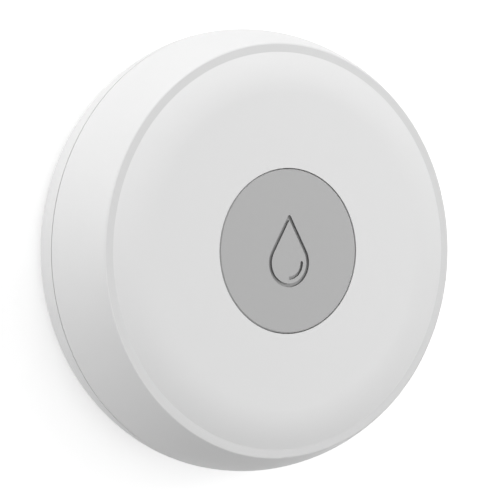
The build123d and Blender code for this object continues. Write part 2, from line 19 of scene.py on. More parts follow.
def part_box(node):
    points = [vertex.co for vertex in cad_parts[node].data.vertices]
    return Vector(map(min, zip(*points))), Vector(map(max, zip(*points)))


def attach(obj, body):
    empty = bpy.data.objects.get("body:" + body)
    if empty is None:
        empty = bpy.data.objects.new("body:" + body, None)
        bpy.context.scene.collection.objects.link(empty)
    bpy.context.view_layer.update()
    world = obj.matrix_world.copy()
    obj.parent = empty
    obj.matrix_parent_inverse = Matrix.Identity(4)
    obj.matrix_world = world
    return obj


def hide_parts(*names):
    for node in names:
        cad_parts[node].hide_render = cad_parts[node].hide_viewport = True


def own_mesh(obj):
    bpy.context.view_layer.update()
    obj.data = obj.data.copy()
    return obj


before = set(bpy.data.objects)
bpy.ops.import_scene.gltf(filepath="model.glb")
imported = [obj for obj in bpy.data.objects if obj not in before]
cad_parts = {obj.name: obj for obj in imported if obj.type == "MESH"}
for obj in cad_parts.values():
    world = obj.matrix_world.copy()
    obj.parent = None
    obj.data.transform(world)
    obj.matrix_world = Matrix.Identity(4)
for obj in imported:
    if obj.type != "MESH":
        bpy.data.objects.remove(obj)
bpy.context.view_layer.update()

LOG = logging.getLogger("leak_sensor")

MM = 0.001
SMOOTH_BELOW = math.radians(35)
NEAR_ZERO = 1e-6
EDGE_BLUR = 0.015
UPRIGHT_BELOW = 0.4
LYING_ABOVE = 0.6

SCREW_CIRCLE = 26.9
PROBE_CIRCLE = 25.0
BOARD_SCREW_PLACE = (9.0, 15.0)
QUARTERS = (0, 90, 180, 270)
DIAGONALS = (45, 135, 225, 315)

Point = tuple[float, float]
Triple = tuple[float, float, float]
Corner = Triple
Colour = Triple


class Body(Enum):
    """Bodies that a piece can ride on."""

    HOUSING = "housing"
    BUTTON = "button"
    PLUNGER = "plunger"
    COVER = "cover"


class Slot(Enum):
    """Material slots of the record."""

    SHELL = "shell_white"
    BUTTON = "button_grey"
    SILICONE = "silicone"
    SEAL = "seal_rubber"
    SCREW = "screw_steel"
    PROBE = "probe_gold"
    BOARD = "board_green"
    BLACK = "black_plastic"
    PLUNGER = "plunger_plastic"
    LED = "led_resin"
    SHIELD = "shield_steel"
    CERAMIC = "ceramic"
    PASSIVE = "passive_brown"
    CAN = "can_aluminium"
    TRAY = "tray_plastic"
    SLEEVE = "cell_sleeve"
    CONTACT = "contact_nickel"
    FINGER = "finger_bronze"


class Wire:
    """A socket in a tree of nodes, on which Python's operators add the nodes of shader maths."""

    def __init__(self, nodes: "Nodes", socket: bpy.types.NodeSocket) -> None:
        """Keeps the socket and the tree that it belongs to."""
        self.nodes = nodes
        self.socket = socket

    def join(self, operation: str, first: "Term", second: "Term" = 0.0) -> "Wire":
        """Adds the node for one operation: Vector Math for a vector or colour, else Math.

        Args:
            operation: Name of the operation, alike on both kinds of node.
            first: Left term.
            second: Right term.

        Returns:
            The result.
        """
        terms = [first, second]
        if any(isinstance(term, tuple) or is_vector(term) for term in terms):
            terms = [(term,) * 3 if isinstance(term, (int, float)) else term for term in terms]
            kind = "ShaderNodeVectorMath"
        else:
            kind = "ShaderNodeMath"
        return self.nodes.node(kind, {"operation": operation}, dict(enumerate(terms)))

    def __add__(self, other: "Term") -> "Wire":
        """Sum."""
        return self.join("ADD", self, other)

    def __sub__(self, other: "Term") -> "Wire":
        """Difference."""
        return self.join("SUBTRACT", self, other)

    def __mul__(self, other: "Term") -> "Wire":
        """Product."""
        return self.join("MULTIPLY", self, other)

    def __radd__(self, other: "Term") -> "Wire":
        """Sum with the wire on the right."""
        return self.join("ADD", other, self)

    def __rsub__(self, other: "Term") -> "Wire":
        """Difference with the wire on the right."""
        return self.join("SUBTRACT", other, self)

    def __rmul__(self, other: "Term") -> "Wire":
        """Product with the wire on the right."""
        return self.join("MULTIPLY", other, self)

    def __abs__(self) -> "Wire":
        """Size without its sign."""
        return self.join("ABSOLUTE", self)

    def least(self, other: "Term") -> "Wire":
        """The lower of two values."""
        return self.join("MINIMUM", self, other)

    def most(self, other: "Term") -> "Wire":
        """The higher of two values."""
        return self.join("MAXIMUM", self, other)


Term = Union[Wire, float, tuple]


def is_vector(term: Term) -> bool:
    """Whether a term is a wire that carries a vector or a colour."""
    return isinstance(term, Wire) and term.socket.type in ("VECTOR", "RGBA")


class Nodes:
    """A tree of nodes, to which one method adds a node of any type."""

    def __init__(self, tree: bpy.types.NodeTree) -> None:
        """Keeps the tree."""
        self.tree = tree

    def feed(self, socket: bpy.types.NodeSocket, value: Term) -> None:
        """Links a wire to a socket, or sets the socket itself to a number or a colour.

        Args:
            socket: Input to feed.
            value: Wire, number, colour or vector.
        """
        if isinstance(value, Wire):
            self.tree.links.new(value.socket, socket)
        elif isinstance(value, tuple) and socket.type == "RGBA":
            socket.default_value = (*value, 1.0)
        else:
            socket.default_value = value

    def node(
        self,
        kind: str,
        settings: Optional[dict] = None,
        inputs: Optional[dict] = None,
        result: Union[int, str] = 0,
    ) -> Wire:
        """Adds a node of any type.

        Args:
            kind: Node type.
            settings: Properties of the node, set first.
            inputs: Values or wires by the name or number of the socket.
            result: Name or number of the output that is wanted.

        Returns:
            The wanted output.
        """
        made = self.tree.nodes.new(kind)
        for name, value in (settings or {}).items():
            setattr(made, name, value)
        for name, value in (inputs or {}).items():
            self.feed(made.inputs[name], value)
        return Wire(self, made.outputs[result])

    def seen(self) -> Wire:
        """Tells the rays that show a thing from those that light it.

        Returns:
            1 for a ray from the camera, a reflection or a clear piece, else 0.
        """
        names = ("Is Camera Ray", "Is Glossy Ray", "Is Transmission Ray")
        camera, glossy, clear = (self.node("ShaderNodeLightPath", result=name) for name in names)
        return camera.most(glossy).most(clear)


class Shader(Nodes):
    """One material's nodes, with the principled shader that they feed."""

    def __init__(self, name: str) -> None:
        """Makes the material.

        Args:
            name: Name of the material.
        """
        self.material = bpy.data.materials.new(name)
        self.material.use_nodes = True
        super().__init__(self.material.node_tree)
        self.surface = self.tree.nodes["Principled BSDF"]

    def where(self) -> Wire:
        """Place on the piece, in metres, as it lies at rest."""
        return self.node("ShaderNodeTexCoord", result="Object")

    def upright(self) -> Wire:
        """1 on faces that stand upright at rest, 0 on those that lie flat."""
        facing = self.node("ShaderNodeTexCoord", result="Normal")
        return 1 - self.band(abs(self.parts(facing)[2]), UPRIGHT_BELOW, LYING_ABOVE)

    def parts(self, vector: Wire) -> tuple[Wire, Wire, Wire]:
        """The X, Y and Z of a vector."""
        split = self.node("ShaderNodeSeparateXYZ", inputs={0: vector})
        return tuple(Wire(self, output) for output in split.socket.node.outputs)

    def noise(self, place: Wire, size: float, detail: float = 2.0) -> Wire:
        """Noise from 0 to 1, with features of a size in millimetres and some finer layers."""
        inputs = {"Vector": place, "Scale": 1 / (size * MM), "Detail": detail}
        return self.node("ShaderNodeTexNoise", inputs=inputs)

    def length(self, x: Wire, y: Wire) -> Wire:
        """Length of the vector from two of its parts."""
        vector = self.node("ShaderNodeCombineXYZ", inputs={0: x, 1: y})
        return self.node("ShaderNodeVectorMath", {"operation": "LENGTH"}, {0: vector}, "Value")

    def step(self, value: Wire, edge: float) -> Wire:
        """Sharp step from 0 to 1 where a length passes an edge in millimetres."""
        return self.band(value, (edge - EDGE_BLUR) * MM, (edge + EDGE_BLUR) * MM)

    def band(self, value: Wire, start: float, end: float) -> Wire:
        """Smooth step from 0 at one value to 1 at another."""
        limits = {"Value": value, "From Min": start, "From Max": end}
        return self.node("ShaderNodeMapRange", {"interpolation_type": "SMOOTHSTEP"}, limits)

    def mixed(self, share: Term, first: Term, second: Term) -> Wire:
        """Colour between two others."""
        return self.node("ShaderNodeMix", {"data_type": "RGBA"}, {0: share, 6: first, 7: second}, 2)

    def bump(self, height: Wire, depth: float) -> Wire:
        """Normal of a surface that a height from 0 to 1 raises by a depth in millimetres."""
        inputs = {"Height": height, "Distance": depth * MM, "Strength": 1.0}
        return self.node("ShaderNodeBump", inputs=inputs)

    def finish(self, **inputs: Term) -> bpy.types.Material:
        """Feeds the principled shader.

        Args:
            inputs: Its sockets, with underscores for the spaces in their names.

        Returns:
            The finished material.
        """
        for name, value in inputs.items():
            self.feed(self.surface.inputs[name.replace("_", " ")], value)
        return self.material


def scaled(colour: Colour, share: float) -> Colour:
    """A colour with each channel times a share."""
    return tuple(channel * share for channel in colour)


@dataclass(frozen=True)
class Finish:
    """Look of a surface: the record's slot, its colour and its roughness.

    The fine grain has a size and a depth. The roughness strays with it, and so may the colour.
    """

    slot: Slot
    colour: Colour
    roughness: float
    grain: float = 0.12
    depth: float = 0.004
    stray: float = 0.2
    fleck: float = 0.2

    def material(self) -> bpy.types.Material:
        """The material, made once for each finish."""
        return made_material(self)

    def uneven(self, grain: Wire) -> Wire:
        """Roughness that strays with a noise from 0 to 1."""
        return self.roughness + (grain - 0.5) * self.stray

    def flecked(self, grain: Wire) -> Wire:
        """Share of the colour, about 1, that strays with a noise from 0 to 1."""
        return (1 - self.fleck / 2) + grain * self.fleck

    def paint(self, shader: Shader) -> None:
        """Feeds the shader; each kind of finish has its own way."""
        raise NotImplementedError


@lru_cache(maxsize=None)
def made_material(finish: Finish) -> bpy.types.Material:
    """Makes the material of a finish, or gives the one made before.

    Args:
        finish: Finish to make.

    Returns:
        Its material.
    """
    shader = Shader(f"{finish.slot.value}.{type(finish).__name__.lower()}")
    finish.paint(shader)
    return shader.material


@dataclass(frozen=True)
class Moulded(Finish):
    """Plastic from an etched mould: fine grain, a slow drift of tone and faint flow marks."""

    grain: float = 0.16
    depth: float = 0.0022
    stray: float = 0.12
    gleam: float = 0.4
    drift: float = 0.008
    cloud_size: float = 14.0
    flow_size: float = 2.5
    flow_stretch: Triple = (1.0, 1.0, 0.2)

    def shade(self, shader: Shader, place: Wire) -> Term:
        """Share of the colour left after painted shade at a place; plain mouldings have none and keep it
        all.
        """
        return 1.0

    def paint(self, shader: Shader) -> None:
        """Feeds the shader with grain, drift and any painted shade.

        Args:
            shader: Shader to feed.
        """
        place = shader.where()
        cloud = shader.noise(place, self.cloud_size) - 0.5
        grain = shader.noise(place, self.grain, detail=3.0)
        flow = shader.noise(place * self.flow_stretch, self.flow_size, detail=1.0) - 0.5
        # The tone joins the random drift with any painted shade that shade() gives.
        tone = (1 + cloud * (2 * self.drift) + flow * self.drift) * self.shade(shader, place)
        shader.finish(
            Base_Color=tone * self.colour,
            Roughness=self.uneven(grain) + cloud * (self.stray / 2),
            Normal=shader.bump(grain, self.depth),
            Specular_IOR_Level=self.gleam,
        )


@dataclass(frozen=True)
class RimmedShell(Moulded):
    """White moulding with painted shade on the narrow lip round the face, which greys that lip a little."""

    lip_inner: float = 28.57
    lip_outer: float = 29.68
    lip_height: float = 18.1
    # Share of the lip's colour that stays under the painted shade.
    lip_shade_share: float = 0.905

    def shade(self, shader: Shader, place: Wire) -> Term:
        """Paints shade on the band between the face and the rim, greying it.

        Args:
            shader: Shader to feed.
            place: Place on the piece.

        Returns:
            Share of the colour that stays under the painted shade.
        """
        x, y, z = shader.parts(place)
        radius = shader.length(x, y)
        inside = shader.step(radius, self.lip_inner) * (1 - shader.step(radius, self.lip_outer))
        # Painted shade: greys the lip band beside the crease, where shade falls.
        return 1 - inside * shader.step(z, self.lip_height) * (1 - self.lip_shade_share)


@dataclass(frozen=True)
class MarkedButton(Moulded):
    """Grey moulding with painted shade in its engraved drop: darker on the floor and darkest on the walls.
    """

    face: float = 19.25
    skin: float = 0.03
    deepest: float = 0.5
    reach: float = 6.0
    # Shares of the colour that stay under the painted shade on the groove's floor and on its walls.
    floor_shade_share: float = 0.78
    wall_shade_share: float = 0.48

    def shade(self, shader: Shader, place: Wire) -> Term:
        """Paints shade into the engraving, most on its upright walls.

        Args:
            shader: Shader to feed.
            place: Place on the piece.

        Returns:
            Share of the colour that stays under the painted shade.
        """
        x, y, z = shader.parts(place)
        sunk = shader.step(z, self.face - self.deepest) * (1 - shader.step(z, self.face - self.skin))
        sunk = sunk * (1 - shader.step(shader.length(x, y), self.reach))
        steeper = self.floor_shade_share - self.wall_shade_share
        # Painted shade: the sunk groove darkens, and its upright walls darken most.
        return 1 - sunk * ((1 - self.floor_shade_share) + shader.upright() * steeper)


@dataclass(frozen=True)
class Rubber(Finish):
    """Soft rubber or silicone with a dull skin and dust in its pores."""

    grain: float = 0.22
    depth: float = 0.008
    patch_size: float = 3.5
    dust: float = 0.5
    bloom: float = 0.12
    glow: float = 0.0
    glow_reach: float = 2.0

    def paint(self, shader: Shader) -> None:
        """Feeds the shader with a pored skin.

        Args:
            shader: Shader to feed.
        """
        place = shader.where()
        pores = shader.noise(place, self.grain, detail=4.0)
        patch = shader.noise(place, self.patch_size)
        dusty = tuple(channel + (self.dust - channel) * self.bloom for channel in self.colour)
        shader.finish(
            Base_Color=shader.mixed(patch, self.colour, dusty),
            Roughness=self.uneven(pores),
            Normal=shader.bump(pores, self.depth),
            Subsurface_Weight=self.glow,
            Subsurface_Radius=(self.glow_reach * MM,) * 3,
        )


@dataclass(frozen=True)
class Turned(Finish):
    """Metal turned on a lathe, with fine rings about the axis of each of several alike pieces.

    The pieces stand at places that mirror each other, so that the axis of one serves all: the
    place is folded onto it first.
    """

    grain: float = 0.09
    stray: float = 0.16
    axis: Point = (0.0, 0.0)
    swapped: bool = False
    stain_size: float = 1.3
    stain_from: float = 0.5
    stain_full: float = 0.75
    stain_rough: float = 0.6
    stain_share: float = 0.72
    tarnish: float = 0.16

    def paint(self, shader: Shader) -> None:
        """Feeds the shader with rings and a little tarnish.

        Args:
            shader: Shader to feed.
        """
        place = shader.where()
        x, y, z = shader.parts(place)
        across, along = abs(x), abs(y)
        if self.swapped:
            across, along = across.most(along), across.least(along)
        distance = shader.length(across - self.axis[0] * MM, along - self.axis[1] * MM)
        line = shader.node("ShaderNodeCombineXYZ", inputs={0: distance, 1: z})
        rings = shader.noise(line, self.grain)
        patches = shader.noise(place, self.stain_size, detail=3.0)
        stain = shader.band(patches, self.stain_from, self.stain_full)
        dark = scaled(self.colour, self.stain_share)
        shader.finish(
            Base_Color=shader.mixed(stain * self.tarnish, self.colour, dark),
            Metallic=1.0,
            Roughness=self.uneven(rings) + stain * (self.tarnish * self.stain_rough),
            Normal=shader.bump(rings, self.depth),
        )


@dataclass(frozen=True)
class Sheet(Finish):
    """Plated strip or drawn can, brushed along one direction."""

    depth: float = 0.003
    stray: float = 0.22
    brushing: Triple = (0.06, 1.0, 1.0)
    smear_size: float = 2.6
    smear_weight: float = 0.35
    smear_share: float = 0.8

    def paint(self, shader: Shader) -> None:
        """Feeds the shader with brushing and finger marks.

        Args:
            shader: Shader to feed.
        """
        place = shader.where()
        brushed = shader.noise(place * self.brushing, self.grain, detail=3.0)
        smear = shader.noise(place, self.smear_size)
        dull = scaled(self.colour, self.smear_share)
        shader.finish(
            Base_Color=shader.mixed(smear * self.smear_weight, self.colour, dull),
            Metallic=1.0,
            Roughness=self.uneven(brushed),
            Normal=shader.bump(brushed, self.depth),
        )


@dataclass(frozen=True)
class SolderMask(Finish):
    """Circuit board: glossy mask over a copper pour, with bare fibre on its cut edges."""

    grain: float = 1.1
    stray: float = 0.1
    fleck: float = 0.16
    coat: float = 0.3
    fibre: Colour = (0.42, 0.37, 0.20)
    fibre_rough: float = 0.4
    weaves_per_metre: float = 1500.0
    pour_share: float = 0.45
    pour_blur: float = 0.02
    pour_tone: float = 1.4
    pour_height: float = 2.0
    zone: float = 4.5

    def paint(self, shader: Shader) -> None:
        """Feeds the shader with mask, pour and fibre edges.

        Args:
            shader: Shader to feed.
        """
        place = shader.where()
        threads = {"Vector": place, "Scale": self.weaves_per_metre}
        weave = shader.node("ShaderNodeTexBrick", inputs=threads, result="Fac")
        cloud = shader.noise(place, self.grain)
        cells = {"Vector": place, "Scale": 1 / (self.zone * MM)}
        zones = shader.node("ShaderNodeTexVoronoi", {"distance": "CHEBYCHEV"}, cells, "Color")
        pour = shader.band(shader.parts(zones)[0], self.pour_share, self.pour_share + self.pour_blur)
        mask = shader.mixed(pour, self.colour, scaled(self.colour, self.pour_tone))
        edge = shader.upright()
        shader.finish(
            Base_Color=shader.mixed(edge, mask * self.flecked(cloud), self.fibre),
            Roughness=self.uneven(cloud) + edge * self.fibre_rough,
            Coat_Weight=self.coat,
            Normal=shader.bump(weave + pour * self.pour_height, self.depth),
        )


@dataclass(frozen=True)
class Sleeve(Finish):
    """Printed metallised film on a cell: plain bands that run round it.

    Each change of tone is given by where it starts and ends, counted from the raised end.
    """

    grain: float = 0.9
    depth: float = 0.012
    stray: float = 0.18
    stretch: Triple = (0.15, 1.0, 1.0)
    coat: float = 0.5
    film_metal: float = 0.35
    band_metal: float = 0.8
    tip: float = 22.6
    forward: bool = True
    band_colour: Colour = (0.62, 0.64, 0.66)
    cap_end: Point = (11.9, 12.0)
    line_start: Point = (12.9, 12.95)
    line_end: Point = (13.3, 13.35)
    foot_start: Point = (40.4, 40.5)

    def paint(self, shader: Shader) -> None:
        """Feeds the shader with the bands.

        Args:
            shader: Shader to feed.
        """
        place = shader.where()
        x = shader.parts(place)[0] * (1 / MM)
        back = self.tip - x if self.forward else x + self.tip
        cap = 1 - shader.band(back, *self.cap_end)
        line = shader.band(back, *self.line_start) * (1 - shader.band(back, *self.line_end))
        share = cap.most(line).most(shader.band(back, *self.foot_start))
        film = shader.noise(place * self.stretch, self.grain, detail=3.0)
        shader.finish(
            Base_Color=shader.mixed(share, self.colour, self.band_colour),
            Metallic=self.film_metal + share * (self.band_metal - self.film_metal),
            Roughness=self.uneven(film),
            Coat_Weight=self.coat,
            Normal=shader.bump(film, self.depth),
        )


@dataclass(frozen=True)
class Glazed(Finish):
    """Fired or cast small part with tinned ends beyond a distance from its middle."""

    middle: float = 19.6
    half_length: float = 0.5
    tin_blur: float = 0.04
    tin: Colour = (0.72, 0.72, 0.70)
    tinned: bool = False

    def paint(self, shader: Shader) -> None:
        """Feeds the shader with the glaze and any tinned ends.

        Args:
            shader: Shader to feed.
        """
        place = shader.where()
        speck = shader.noise(place, self.grain, detail=3.0)
        colour, metal = self.colour, 0.0
        if self.tinned:
            reach = abs(abs(shader.parts(place)[1]) - self.middle * MM)
            metal = shader.band(reach, self.half_length * MM, (self.half_length + self.tin_blur) * MM)
            colour = shader.mixed(metal, self.colour, self.tin)
        shader.finish(
            Base_Color=self.flecked(speck) * colour,
            Metallic=metal,
            Roughness=self.uneven(speck),
            Normal=shader.bump(speck, self.depth),
        )


WHITE_SHELL = RimmedShell(Slot.SHELL, (0.80, 0.80, 0.80), 0.5)
GREY_BUTTON = MarkedButton(Slot.BUTTON, (0.458, 0.458, 0.458), 0.5)
BLACK_RUBBER = Rubber(Slot.SEAL, (0.022, 0.022, 0.024), 0.62)
CLEAR_SILICONE = Rubber(Slot.SILICONE, (0.62, 0.65, 0.67), 0.45, bloom=0.2, glow=0.4)
GOLD_PROBE = Turned(Slot.PROBE, (0.83, 0.60, 0.27), 0.22, axis=(PROBE_CIRCLE * math.sqrt(0.5),) * 2)
COVER_SCREW = Turned(
    Slot.SCREW, (0.60, 0.60, 0.61), 0.3, axis=(SCREW_CIRCLE, 0.0), swapped=True, tarnish=0.3
)
BOARD_SCREW = Turned(Slot.SCREW, (0.62, 0.62, 0.62), 0.28, axis=BOARD_SCREW_PLACE, tarnish=0.2)
GREEN_BOARD = SolderMask(Slot.BOARD, (0.012, 0.088, 0.038), 0.32)
RADIO_MODULE = SolderMask(Slot.BOARD, (0.010, 0.060, 0.045), 0.3, pour_share=0.6)
COVERED_TRACE = SolderMask(Slot.BOARD, (0.030, 0.170, 0.075), 0.3, pour_share=0.9)
BLACK_PLASTIC = Moulded(Slot.BLACK, (0.028, 0.028, 0.030), 0.55, grain=0.1, depth=0.003)
PLUNGER_PLASTIC = Moulded(Slot.PLUNGER, (0.66, 0.65, 0.60), 0.42, grain=0.08)
LED_RESIN = Glazed(Slot.LED, (0.82, 0.78, 0.50), 0.12)
TINNED_CAN = Sheet(Slot.SHIELD, (0.66, 0.66, 0.64), 0.3, brushing=(1.0, 0.08, 1.0))
CERAMIC = Glazed(Slot.CERAMIC, (0.80, 0.77, 0.70), 0.3)
PASSIVES = Glazed(Slot.PASSIVE, (0.22, 0.13, 0.07), 0.35, tinned=True)
DRAWN_CAN = Sheet(Slot.CAN, (0.76, 0.76, 0.78), 0.24, brushing=(1.0, 1.0, 0.08))
DARK_TRAY = Moulded(Slot.TRAY, (0.045, 0.045, 0.050), 0.5, grain=0.2, depth=0.004)
SLEEVES = [Sleeve(Slot.SLEEVE, (0.045, 0.060, 0.085), 0.26, forward=way) for way in (True, False)]
CELL_CAN = Sheet(Slot.CONTACT, (0.66, 0.66, 0.65), 0.28, brushing=(1.0, 0.5, 0.5))
NICKEL_STRIP = Sheet(Slot.CONTACT, (0.70, 0.69, 0.66), 0.26, brushing=(1.0, 1.0, 0.07))
BRONZE_STRIP = Sheet(Slot.FINGER, (0.72, 0.47, 0.27), 0.27, brushing=(1.0, 1.0, 0.3))
SOLDER = Sheet(Slot.SHIELD, (0.74, 0.74, 0.73), 0.2)
GOLD_PAD = Sheet(Slot.PROBE, (0.85, 0.64, 0.30), 0.3)

NODE_FINISHES = {
    "front_shell": WHITE_SHELL,
    "rear_cover": WHITE_SHELL,
    "button_cap": GREY_BUTTON,
    "main_board": GREEN_BOARD,
    "radio_board": RADIO_MODULE,
    "switch_body": BLACK_PLASTIC,
    "controller_chip": BLACK_PLASTIC,
    "switch_plunger": PLUNGER_PLASTIC,
    "status_led": LED_RESIN,
    "radio_shield": TINNED_CAN,
    "chip_antenna": CERAMIC,
    "board_passives": PASSIVES,
    "bulk_capacitor": DRAWN_CAN,
    "battery_tray": DARK_TRAY,
    "positive_terminal": NICKEL_STRIP,
    "negative_terminal": NICKEL_STRIP,
    "cell_bridge": NICKEL_STRIP,
    "probe_nuts": GOLD_PROBE,
    **{f"probe_contact_{number}": BRONZE_STRIP for number in range(1, 5)},
}


def dress(node: str, finish: Finish) -> None:
    """Gives a CAD node its finish.

    Args:
        node: Name of the node.
        finish: Finish of all its faces.
    """
    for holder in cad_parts[node].material_slots:
        holder.material = finish.material()
    LOG.info("dressed %s as %s", node, finish.slot.value)


def reach_of(node: str) -> tuple[Vector, Vector]:
    """Lowest and highest corner of a node at rest, in millimetres."""
    low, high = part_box(node)
    return low / MM, high / MM


def linked(name: str, data: bpy.types.ID) -> bpy.types.Object:
    """Makes an object and links it to the scene.

    Args:
        name: Name of the object.
        data: Its mesh, light or camera.

    Returns:
        The object.
    """
    made = bpy.data.objects.new(name, data)
    bpy.context.scene.collection.objects.link(made)
    return made


def rounded(corners: Sequence[Corner], steps: int = 5) -> list[Point]:
    """Runs an outline through corners and rounds them.

    Args:
        corners: Radius, height and rounding of each corner; the first and last stay sharp.
        steps: Points on each rounding, less one.

    Returns:
        Points of the outline.
    """
    points = [corners[0][:2]]
    for before, here, after in zip(corners, corners[1:], corners[2:]):
        corner = Vector(here[:2])
        back = (Vector(before[:2]) - corner).normalized()
        on = (Vector(after[:2]) - corner).normalized()
        half = back.angle(on) / 2
        if here[2] <= 0 or abs(half - math.pi / 2) < NEAR_ZERO:
            points.append(tuple(corner))
            continue
        centre = corner + (back + on).normalized() * (here[2] / math.sin(half))
        run = here[2] / math.tan(half)
        start = (corner + back * run - centre).normalized()
        end = (corner + on * run - centre).normalized()
        points += [tuple(centre + start.slerp(end, step / steps) * here[2]) for step in range(steps + 1)]
    return points + [corners[-1][:2]]


def around(radius: float, angles: Iterable[float]) -> list[Matrix]:
    """Places at a radius from the Z axis, at angles in degrees and turned to face outwards."""
    turns = [Matrix.Rotation(math.radians(angle), 4, "Z") for angle in angles]
    return [turn @ Matrix.Translation((radius, 0.0, 0.0)) for turn in turns]


@dataclass(frozen=True)
class Thread:
    """Screw thread cut into a stretch of a turned piece."""

    low: float
    high: float
    pitch: float
    depth: float
    rows: int = 8

    def heights(self) -> list[float]:
        """Heights of the rows of points that the thread needs."""
        count = round((self.high - self.low) / self.pitch * self.rows)
        return [self.low + (self.high - self.low) * row / count for row in range(count + 1)]

    def cut(self, angle: float, height: float) -> float:
        """How deep the thread is cut at a place.

        Args:
            angle: Angle about the axis, in radians.
            height: Height of the place.

        Returns:
            Depth of the cut.
        """
        fade = min(height - self.low, self.high - height) / self.pitch
        wave = abs(2 * ((height / self.pitch - angle / math.tau) % 1.0) - 1)
        return self.depth * wave * max(0.0, min(1.0, fade))


class Form:
    """A mesh put together in millimetres."""

    def __init__(self) -> None:
        """Starts with nothing."""
        self.bm = bmesh.new()

    def turn(self, outline: Sequence[Point], steps: int = 64, thread: Optional[Thread] = None) -> "Form":
        """Turns an outline about Z; it closes on itself unless its ends lie on the axis.

        Args:
            outline: Points as (radius, height).
            steps: Faces round the axis.
            thread: Thread cut into the piece, if any.

        Returns:
            This form.
        """
        rings = []
        for radius, height in outline:
            if radius < NEAR_ZERO:
                rings.append([self.bm.verts.new((0.0, 0.0, height))])
                continue
            ring = []
            for step in range(steps):
                angle = math.tau * step / steps
                reach = radius - (thread.cut(angle, height) if thread else 0.0)
                ring.append(self.bm.verts.new((reach * math.cos(angle), reach * math.sin(angle), height)))
            rings.append(ring)
        pairs = list(zip(rings, rings[1:]))
        if len(rings[0]) > 1 and len(rings[-1]) > 1:
            pairs.append((rings[-1], rings[0]))
        for first, second in pairs:
            for step in range(steps):
                loop = [first[step % len(first)], first[(step + 1) % len(first)]]
                loop += [second[(step + 1) % len(second)], second[step % len(second)]]
                loop = list(dict.fromkeys(loop))
                if len(loop) > 2:
                    self.bm.faces.new(loop)
        return self

    def prism(self, outline: Sequence[Point], low: float, high: float) -> "Form":
        """Adds an upright prism.

        Args:
            outline: Corners on the XY plane.
            low: Height of its foot.
            high: Height of its top.

        Returns:
            This form.
        """
        foot = [self.bm.verts.new((x, y, low)) for x, y in outline]
        top = [self.bm.verts.new((x, y, high)) for x, y in outline]
        self.bm.faces.new(foot)
        self.bm.faces.new(top)
        for index in range(len(outline)):
            after = (index + 1) % len(outline)
            self.bm.faces.new((foot[index], foot[after], top[after], top[index]))
        return self

    def strip(self, path: Sequence[Point], width: float, low: float, high: float) -> "Form":
        """Adds a flat strip of one width along a path, mitred at its corners.

        Args:
            path: Points along its middle.
            width: Its width.
            low: Height of its foot.
            high: Height of its top.

        Returns:
            This form.
        """
        left, right = [], []
        for index, point in enumerate(path):
            ahead = Vector(path[min(index + 1, len(path) - 1)]) - Vector(point)
            behind = Vector(point) - Vector(path[max(index - 1, 0)])
            mean = (ahead.normalized() + behind.normalized()).normalized()
            cosine = mean.dot(ahead.normalized() if ahead.length else behind.normalized())
            side = Vector((-mean.y, mean.x)) * (width / 2 / cosine)
            left.append(tuple(Vector(point) + side))
            right.append(tuple(Vector(point) - side))
        return self.prism(left + right[::-1], low, high)

    def draft(self) -> bpy.types.Object:
        """Makes a plain object of this form, for a boolean.

        Returns:
            The object.
        """
        mesh = bpy.data.meshes.new("draft")
        bmesh.ops.recalc_face_normals(self.bm, faces=self.bm.faces)
        self.bm.to_mesh(mesh)
        return linked("draft", mesh)

    def minus(self, cutter: "Form") -> "Form":
        """Cuts another form out of this one.

        Args:
            cutter: Form to cut away.

        Returns:
            What is left.
        """
        body, tool = self.draft(), cutter.draft()
        cut = body.modifiers.new("cut", "BOOLEAN")
        cut.operation = "DIFFERENCE"
        cut.solver = "EXACT"
        cut.object = tool
        left = Form()
        left.bm.from_object(body, bpy.context.evaluated_depsgraph_get())
        for draft in (body, tool):
            mesh = draft.data
            bpy.data.objects.remove(draft)
            bpy.data.meshes.remove(mesh)
        return left

    def at(self, places: Iterable[Matrix]) -> "Form":
        """Sets the same form at each of several places.

        Args:
            places: Where the copies go.

        Returns:
            All the copies as one form.
        """
        single = bpy.data.meshes.new("single")
        self.bm.to_mesh(single)
        copies = Form()
        for place in places:
            start = len(copies.bm.verts)
            copies.bm.from_mesh(single)
            copies.bm.verts.ensure_lookup_table()
            bmesh.ops.transform(copies.bm, matrix=place, verts=copies.bm.verts[start:])
        bpy.data.meshes.remove(single)
        return copies

    def piece(self, name: str, body: Body, finish: Finish, *replaced: str) -> bpy.types.Object:
        """Makes the piece and lets it ride on its body.

        Args:
            name: Name of the piece.
            body: Body that it rides on.
            finish: Finish of all its faces.
            replaced: Nodes that it stands for.

        Returns:
            The piece.
        """
        bmesh.ops.remove_doubles(self.bm, verts=self.bm.verts, dist=NEAR_ZERO)
        bmesh.ops.recalc_face_normals(self.bm, faces=self.bm.faces)
        bmesh.ops.scale(self.bm, vec=(MM, MM, MM), verts=self.bm.verts)
        mesh = bpy.data.meshes.new(name)
        self.bm.to_mesh(mesh)
        self.bm.free()
        mesh.shade_smooth()
        mesh.set_sharp_from_angle(angle=SMOOTH_BELOW)
        mesh.materials.append(finish.material())
        made = linked(name, mesh)
        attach(made, body.value)
        if replaced:
            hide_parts(*replaced)
        LOG.info("made %s with %d faces", name, len(mesh.polygons))
        return made


